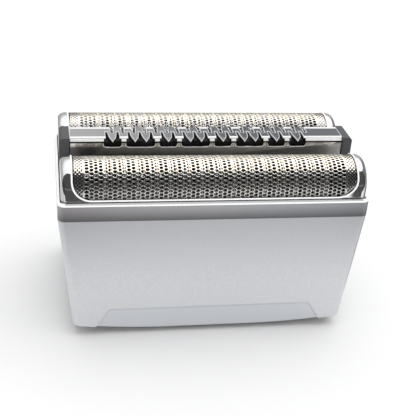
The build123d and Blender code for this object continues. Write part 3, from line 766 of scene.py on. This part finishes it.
def makeComb():
    low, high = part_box("trimmer_comb")
    half, slot, flatHalf = comb["half"], comb["slot"] / 2, comb["rollStart"]
    front = [(low.x, -half)]
    for number in range(-1, comb["teeth"]):
        middle = toothPlace(number + 0.5)
        leftLong, rightLong = isLong(toothPlace(number)), isLong(toothPlace(number + 1))
        front.append((middle - slot, -half + comb["taper"] * leftLong))
        front += rounded((middle, comb["slotEnd"] - slot), slot, pi, -pi, comb["slotSteps"])
        front.append((middle + slot, -half + comb["taper"] * rightLong))
        if rightLong:
            tip, knee = toothPlace(number + 1), comb["knee"]
            front += [(tip - knee, -half), (tip, -half - comb["reach"]), (tip + knee, -half)]
    front.append((high.x, -half))
    build = bmesh.new()
    outline = [build.verts.new((x, y, high.z)) for x, y in front + [(-x, -y) for x, y in front]]
    sheet = build.faces.new(outline)
    build.normal_update()
    cut = bmesh.ops.inset_region(
        build, faces=[sheet], thickness=comb["cutEdge"], use_boundary=True, use_even_offset=True)
    # painted highlight: the inset ring along the sheet's outline takes the glowing edge finish
    for face in cut["faces"]:
        face.material_index = 1
    bmesh.ops.triangulate(build, faces=build.faces[:])
    for row in comb["rows"]:
        for hand in (-1, 1):
            everything = build.verts[:] + build.edges[:] + build.faces[:]
            bmesh.ops.bisect_plane(build, geom=everything, dist=1e-7, plane_co=(0, hand * row * mm, 0),
                                   plane_no=(0, 1, 0))
    for corner in build.verts:
        away = abs(corner.co.y)
        if isLong(corner.co.x, corner.co.y):
            corner.co.z -= max(away - half, 0.0) * comb["drop"] / comb["reach"]
        elif corner.co.y < 0:
            corner.co.z -= comb["rollDrop"] * (max(away - flatHalf, 0.0) / (half - flatHalf)) ** 2
    mesh = bpy.data.meshes.new("ribbon")
    build.to_mesh(mesh)
    build.free()
    for finish in ("comb", "edge"):
        mesh.materials.append(finishes[finish])
    ribbon = stand("ribbon", mesh)
    thicken(ribbon, comb["sheet"])
    piece = stand("trimmer_comb_ribbon", settle(ribbon))
    shadeByAngle(piece, comb["sharpAngle"])
    places = [corner.co for corner in piece.data.vertices]
    rolled = piece.data.attributes.new("rolled", "FLOAT", "POINT")
    rolled.data.foreach_set("value", [not isLong(place.x, place.y) for place in places])
    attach(piece, "trimmer")
    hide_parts("trimmer_comb")


def windowEdge(start, finish, sill, grown):
    # a window's lower edge and its rounded corners, moved outward by grown
    corner, steps = guard["windowRound"], guard["windowSteps"]
    edge = rounded((start + corner, sill + corner), corner + grown, pi, pi / 2, steps)
    return edge + rounded((finish - corner, sill + corner), corner + grown, -pi / 2, pi / 2, steps)


def makeGuard():
    # a folded channel, cut through at both bends by windows, with a thin lip along each window's lower edge,
    # painted light and glowing as a painted highlight
    low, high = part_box("trimmer_guard")
    half, top, bend, sheet = high.y, high.z, guard["round"], guard["sheet"]
    outline = [(-half, low.z)] + rounded((bend - half, top - bend), bend, pi, -pi / 2, guard["bends"])
    outline += rounded((half - bend, top - bend), bend, pi / 2, -pi / 2, guard["bends"]) + [(half, low.z)]
    inner = half - sheet
    outline += [(inner, low.z), (inner, top - sheet), (-inner, top - sheet), (-inner, low.z)]
    channel = prism("channel", outline, low.x, high.x, 0)
    places = [toothPlace(number) for number in (-1,) + comb["short"] + (comb["teeth"],)]
    sill = top - guard["windowRise"]
    tools, lips = [], []
    for left, right in zip(places, places[1:]):
        start, finish = left + guard["bridge"] / 2, right - guard["bridge"] / 2
        for hand in (-1, 1):
            lip = windowEdge(start, finish, sill, guard["lipGap"])
            lips.append(tube([(-hand * x, hand * half, z) for x, z in lip], guard["lip"]))
            window = windowEdge(start, finish, sill, 0.0) + [(finish, top + sheet), (start, top + sheet)]
            window = [(-hand * x, z) for x, z in window]
            tool = prism("window", window, hand * guard["spineHalf"], hand * (half + sheet), 1)
            tools.append(cutWith(channel, tool))
    soften(channel, guard["edge"], guard["edgeAngle"])
    piece = gather("trimmer_guard_channel", [settle(channel)], "guard", guard["sharpAngle"])
    for tool in tools:
        bpy.data.objects.remove(tool)
    # painted highlight: the lips take the glowing edge finish
    trim = gather("trimmer_guard_lips", lips, "edge", guard["lipAngle"])
    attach(piece, "trimmer")
    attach(trim, "trimmer")
    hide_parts("trimmer_guard")


# chromed foil frame: rounded loaf with a foil opening, a bead round it, and a hooked skirt below; millimetres
loaf = {
    "radius": 5.0, "axis": 28.2, "foot": 25.8, "half": 28.4, "steps": 48,
    "cheekRound": 1.7, "cheekInset": 1.2, "cheekBlunt": 0.9, "cheekSteps": 12,
    "cavity": 26.4, "sill": 27.1, "windowRound": 3.6, "windowSteps": 10, "windowClear": 3,
    "roomRadius": 4.55, "roomAxis": 28.7, "roomClear": 1,
    "bead": 0.16, "beadSink": 0.02, "beadGrow": 0.04, "beadTop": 2.5, "beadSteps": 16,
    "skirtFoot": 21.5, "skirtLength": 54.6, "skirtDepth": 9.0, "skirtWall": 0.5, "skirtLap": 0.1,
    "hookFoot": 17.2, "hookTop": 18.2, "hookReach": 1.2, "tab": 0.4, "tabWidth": 4.4,
    "sharpAngle": radians(35),
}


def block(name, outline, start, finish, axis):
    # a prism given in millimetres
    corners = [(first * mm, second * mm) for first, second in outline]
    return prism(name, corners, start * mm, finish * mm, axis)


def archOutline(centre, radius, axis, foot):
    arch = rounded((centre, axis), radius, pi, -pi, loaf["steps"])
    return [(centre - radius, foot)] + arch + [(centre + radius, foot)]


def windowOutline(grown, top):
    # the foil opening seen from the front, its edge moved outward by grown
    side, corner, steps = loaf["cavity"] + grown, loaf["windowRound"] + grown, loaf["windowSteps"]
    hollow = loaf["sill"] - grown + corner
    outline = [(-side, top)] + rounded((corner - side, hollow), corner, pi, pi / 2, steps)
    return outline + rounded((side - corner, hollow), corner, -pi / 2, pi / 2, steps) + [(side, top)]


def loft(name, sections):
    # a closed solid through like outlines, each at its own X; millimetres
    count = len(sections[0][1])
    points = [(reach * mm, y * mm, z * mm) for reach, outline in sections for y, z in outline]
    faces = [tuple(range(count)), tuple(range(len(points) - count, len(points)))]
    for start in range(0, len(points) - count, count):
        faces += [(start + i, start + (i + 1) % count, start + count + (i + 1) % count, start + count + i)
                  for i in range(count)]
    return solidFrom(name, points, faces)


def beadPath(centre):
    # the opening's edge laid over the frame's arch, front side, crown and rear side in turn
    reach, axis, steps = loaf["radius"] - loaf["beadSink"], loaf["axis"], loaf["beadSteps"]
    edge = windowOutline(loaf["beadGrow"], axis + loaf["beadTop"])[1:-1]
    path = []
    for hand, line in ((-1, edge), (1, edge[::-1])):
        for x, z in line:
            rise = max(z - axis, 0.0)
            path.append((x, centre + hand * (reach * reach - rise * rise) ** 0.5, z))
        start = path[-1]
        first = asin(min((start[2] - axis) / reach, 1.0))
        for step in range(1, steps):
            turn = first + (pi - 2 * first) * step / steps
            path.append((start[0], centre + hand * reach * cos(turn), axis + reach * sin(turn)))
    return path


def makeFrame(side):
    low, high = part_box(side + "_foil_frame")
    centre = (low.y + high.y) / 2 / mm
    radius, half, foot, cavity = loaf["radius"], loaf["half"], loaf["foot"], loaf["cavity"]
    crown, far = loaf["axis"] + radius, 4 * radius
    sections = []
    for step in range(loaf["cheekSteps"] + 1):
        turn = step / loaf["cheekSteps"] * pi / 2
        reach = half - loaf["cheekRound"] * (1 - sin(turn) ** loaf["cheekBlunt"])
        inset = loaf["cheekInset"] * (1 - cos(turn) ** loaf["cheekBlunt"])
        sections.append((reach, archOutline(centre, radius - inset, loaf["axis"], foot)))
    body = loft("loaf", [(-reach, arch) for reach, arch in sections[::-1]] + sections)
    room = archOutline(centre, loaf["roomRadius"], loaf["roomAxis"], foot - loaf["roomClear"])
    opening = windowOutline(0.0, crown + loaf["windowClear"])
    tools = [cutWith(body, block("room", room, -cavity, cavity, 0)),
             cutWith(body, block("opening", opening, centre - far, centre + far, 1))]
    skirt = block("skirt", box(loaf["skirtLength"], loaf["skirtDepth"], 0.0, centre),
                  loaf["skirtFoot"], foot + loaf["skirtLap"], 2)
    hollow = box(2 * cavity, loaf["skirtDepth"] - 2 * loaf["skirtWall"], 0.0, centre)
    tools.append(cutWith(skirt, block("hollow", hollow, 0.0, crown, 2)))
    parts = [settle(body), settle(skirt)]
    for end in (-1, 1):
        tab = box(loaf["tab"], loaf["tabWidth"], end * (cavity + loaf["tab"] / 2), centre)
        hook = box(loaf["hookReach"], loaf["tabWidth"], end * (cavity - loaf["hookReach"] / 2), centre)
        parts.append(settle(block("tab", tab, loaf["hookFoot"], loaf["skirtFoot"], 2)))
        parts.append(settle(block("hook", hook, loaf["hookFoot"], loaf["hookTop"], 2)))
    bead = tube([Vector(place) * mm for place in beadPath(centre)], loaf["bead"] * mm, closed=True)
    for tool in tools:
        bpy.data.objects.remove(tool)
    piece = gather(side + "_frame_loaf", parts, "chrome", loaf["sharpAngle"])
    trim = gather(side + "_frame_bead", [bead], "bead", loaf["sharpAngle"])
    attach(piece, side + "_foil_unit")
    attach(trim, side + "_foil_unit")
    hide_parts(side + "_foil_frame")


foilNet = foilTree()
bladeRow = bladeTree()
coilSpring = springTree()
for side in sides:
    makeFrame(side)
    makeFoil(foilNet, side)
    makeBlades(bladeRow, side)
    makeSpring(coilSpring, side + "_cutter_spring", side + "_drive", "cutter")
for hand in ("left", "right"):
    makeSpring(coilSpring, "trimmer_spring_" + hand, "housing", "trimmer")
makeGuard()
makeComb()
print("foils, frames, blades, springs, trimmer guard and comb made")


# solids keep their form and get a finish, edges softened by so many millimetres, and smooth rounds
solidFinish = {
    "housing_shell": ("silver", 0.10), "chassis": ("dark", 0.10),
    "trimmer_carrier": ("cap", 0.12), "trimmer_blade": ("black", 0.0), "trimmer_slider": ("dark", 0.08),
    "front_blade_carrier": ("grey", 0.08), "rear_blade_carrier": ("grey", 0.08),
    "front_drive_bridge": ("grey", 0.08), "rear_drive_bridge": ("grey", 0.08),
}
softening = {"weld": 0.002 * mm, "bevelAngle": radians(40), "smoothAngle": radians(38),
             "creaseAngle": radians(3), "flatAngle": radians(0.8)}


def smoothTree():
    # flat-shaded solids get smooth rounds and keep their sharp edges
    tree, bench, size = newTree("smoothRounds", {"Geometry": "Geometry", "Crease height": "Float"})
    shape = size["Geometry"]
    fold = bench.add("GeometryNodeInputMeshEdgeAngle", out="Unsigned Angle")
    height = bench.split(bench.add("GeometryNodeInputPosition"), "Z")
    tighter = softening["creaseAngle"] - softening["smoothAngle"]
    limit = softening["smoothAngle"] + (height < size["Crease height"]) * tighter
    shape = bench.add("GeometryNodeSetShadeSmooth", {"domain": "FACE"}, {
        "Geometry": shape, "Shade Smooth": True})
    shape = bench.add("GeometryNodeSetShadeSmooth", {"domain": "EDGE"}, {
        "Geometry": shape, "Selection": fold > limit, "Shade Smooth": False})
    bench.add("NodeGroupOutput", None, {"Geometry": shape})
    return tree


smoothRounds = smoothTree()
creaseInput = smoothRounds.interface.items_tree["Crease height"].identifier
for node, (finish, edge) in solidFinish.items():
    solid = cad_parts[node]
    for slot in solid.material_slots:
        slot.material = finishes[finish]
    if not solid.material_slots:
        solid.data.materials.append(finishes[finish])
    weld = solid.modifiers.new("weld", "WELD")
    weld.merge_threshold = softening["weld"]
    flatten = solid.modifiers.new("flats", "DECIMATE")
    flatten.decimate_type = "DISSOLVE"
    flatten.angle_limit = softening["flatAngle"]
    if edge:
        soften(solid, edge * mm, softening["bevelAngle"])
    rounds = solid.modifiers.new("rounds", "NODES")
    rounds.node_group = smoothRounds
    rounds[creaseInput] = paint["creaseTop"] if node == "housing_shell" else 0.0
    normals = solid.modifiers.new("normals", "WEIGHTED_NORMAL")
    normals.keep_sharp = True
print("solids finished:", len(solidFinish))


# floor, lights and the dark room in front that the bright metal mirrors
studio = {
    "floorHalf": 3.0, "floorDrop": 1.2 * mm, "floorTone": (0.97, 0.97, 0.97, 1), "level": 0.1 * mm,
    "carpetFar": 1.5, "carpetNear": (0.056, 0.076, 0.056), "carpetSplit": (-0.020, 0.046),
    "carpetTone": (0.075, 0.073, 0.073, 1), "runnerSpan": (0.038, 0.25), "runnerDepth": (-0.015, 0.10),
    "runnerTone": (0.11, 0.11, 0.115, 1), "mattNear": 0.10, "mattTone": (0.25, 0.25, 0.26, 1), "rough": 0.9,
    "sunPower": 1.25, "sunSpread": radians(70), "sunTilt": (radians(-9), radians(13), 0.0),
    "fill": 0.70, "wallGlow": 0.50, "roofGlow": 1.10, "sideGlow": 0.22, "frontGlow": 0.075,
    "roofFade": (0.35, 0.80), "sideFade": (0.45, 0.75), "frontFade": (-0.03, 0.06),
    "frontLean": (-0.94, 0.34),
}


def stagePanel(name, span, depth, level, tone):
    (left, right), (front, back) = span, depth
    corners = [(left, front, level), (right, front, level), (right, back, level), (left, back, level)]
    mesh = bpy.data.meshes.new(name)
    mesh.from_pydata(corners, [], [(0, 1, 2, 3)])
    panel = stand(name, mesh)
    finish = newFinish(name + "Tone", Base_Color=tone, Roughness=studio["rough"], Specular_IOR_Level=0.0)
    mesh.materials.append(finish[0])
    return panel


def openFromBelow(material):
    # the floor is there only from above, so that the underside can be looked at
    bench = Bench(material.node_tree)
    shader, output = (material.node_tree.nodes[name] for name in ("Principled BSDF", "Material Output"))
    below = bench.add("ShaderNodeNewGeometry", out="Backfacing")
    clear = bench.add("ShaderNodeBsdfTransparent")
    mixed = bench.add("ShaderNodeMixShader", None, {0: below, 1: Wire(bench, shader.outputs[0]), 2: clear})
    bench.plug(output.inputs["Surface"], mixed)


def makeStage():
    half, far, level = studio["floorHalf"], studio["carpetFar"], studio["level"]
    wide, splits = (-half, half), (-half, *studio["carpetSplit"], half)
    floor = stagePanel("floor", wide, wide, -studio["floorDrop"], studio["floorTone"])
    openFromBelow(floor.data.materials[0])
    panels = []  # seen by mirrors alone
    for left, right, near in zip(splits, splits[1:], studio["carpetNear"]):
        panels.append(stagePanel("darkCarpet", (left, right), (-far, -near), level, studio["carpetTone"]))
    panels.append(stagePanel("darkRunner", studio["runnerSpan"], studio["runnerDepth"], level,
                             studio["runnerTone"]))
    panels.append(stagePanel("greyMatt", wide, (studio["mattNear"], far), level, studio["mattTone"]))
    for panel in panels:
        panel.visible_camera = False
        panel.visible_diffuse = False
        panel.visible_shadow = False
    sun = bpy.data.lights.new("softSun", "SUN")
    sun.energy = studio["sunPower"]
    sun.angle = studio["sunSpread"]
    stand("softSun", sun).rotation_euler = studio["sunTilt"]


def makeWorld():
    # white to the eye, a soft fill for matt surfaces; mirrors see a bright roof, grey walls and a dark front
    world = bpy.data.worlds.new("whiteRoom")
    world.use_nodes = True
    world.node_tree.nodes.clear()
    bench = Bench(world.node_tree)
    toward = bench.add("ShaderNodeTexCoord", out="Generated")
    ahead = bench.split(toward, "Y")
    height, (lean, lift) = ahead.pick("Z"), studio["frontLean"]
    roof = bench.fade(height, *studio["roofFade"])
    front = bench.fade(ahead * lean - height * lift, *studio["frontFade"])
    room = studio["wallGlow"] + roof * (studio["roofGlow"] - studio["wallGlow"])
    room = room + bench.fade(ahead.pick("X"), *studio["sideFade"]) * (studio["sideGlow"] - room)
    room = room + front * (studio["frontGlow"] - room)
    path = bench.add("ShaderNodeLightPath", out="Is Camera Ray")
    seen = bench.maths("MAXIMUM", path, path.pick("Is Transmission Ray"))
    glow = studio["fill"] + path.pick("Is Glossy Ray") * (room - studio["fill"])
    glow = glow + seen * (1.0 - glow)
    light = bench.add("ShaderNodeBackground", None, {"Color": (1, 1, 1, 1), "Strength": glow})
    bench.add("ShaderNodeOutputWorld", None, {"Surface": light})
    scene.world = world


# camera as the photograph was taken: place in millimetres, angles in degrees, focal length in pixels
view = {"place": (-30.659, -153.887, 102.807), "pitch": 28.642, "yaw": 11.732, "rollHighlight": 4.677, "focal": 883.66,
        "pixels": 416, "sensor": 36.0, "clip": 0.005}


def makeCamera():
    pitch, yaw, rollHighlight = (radians(view[name]) for name in ("pitch", "yaw", "rollHighlight"))
    ahead = Vector((sin(yaw) * cos(pitch), cos(yaw) * cos(pitch), -sin(pitch)))
    level = Vector((cos(yaw), -sin(yaw), 0.0))
    upright = level.cross(ahead)
    right = level * cos(rollHighlight) + upright * sin(rollHighlight)
    up = upright * cos(rollHighlight) - level * sin(rollHighlight)
    lens = bpy.data.cameras.new("camera")
    lens.sensor_width = view["sensor"]
    lens.lens = view["focal"] / view["pixels"] * view["sensor"]
    lens.clip_start = view["clip"]
    turn = Matrix((right, up, -ahead)).transposed().to_4x4()
    eye = stand("camera", lens)
    eye.matrix_world = Matrix.Translation(Vector(view["place"]) * mm) @ turn
    scene.camera = eye


makeStage()
makeWorld()
makeCamera()
scene.view_settings.view_transform = "Standard"
print("stage, world and camera set")
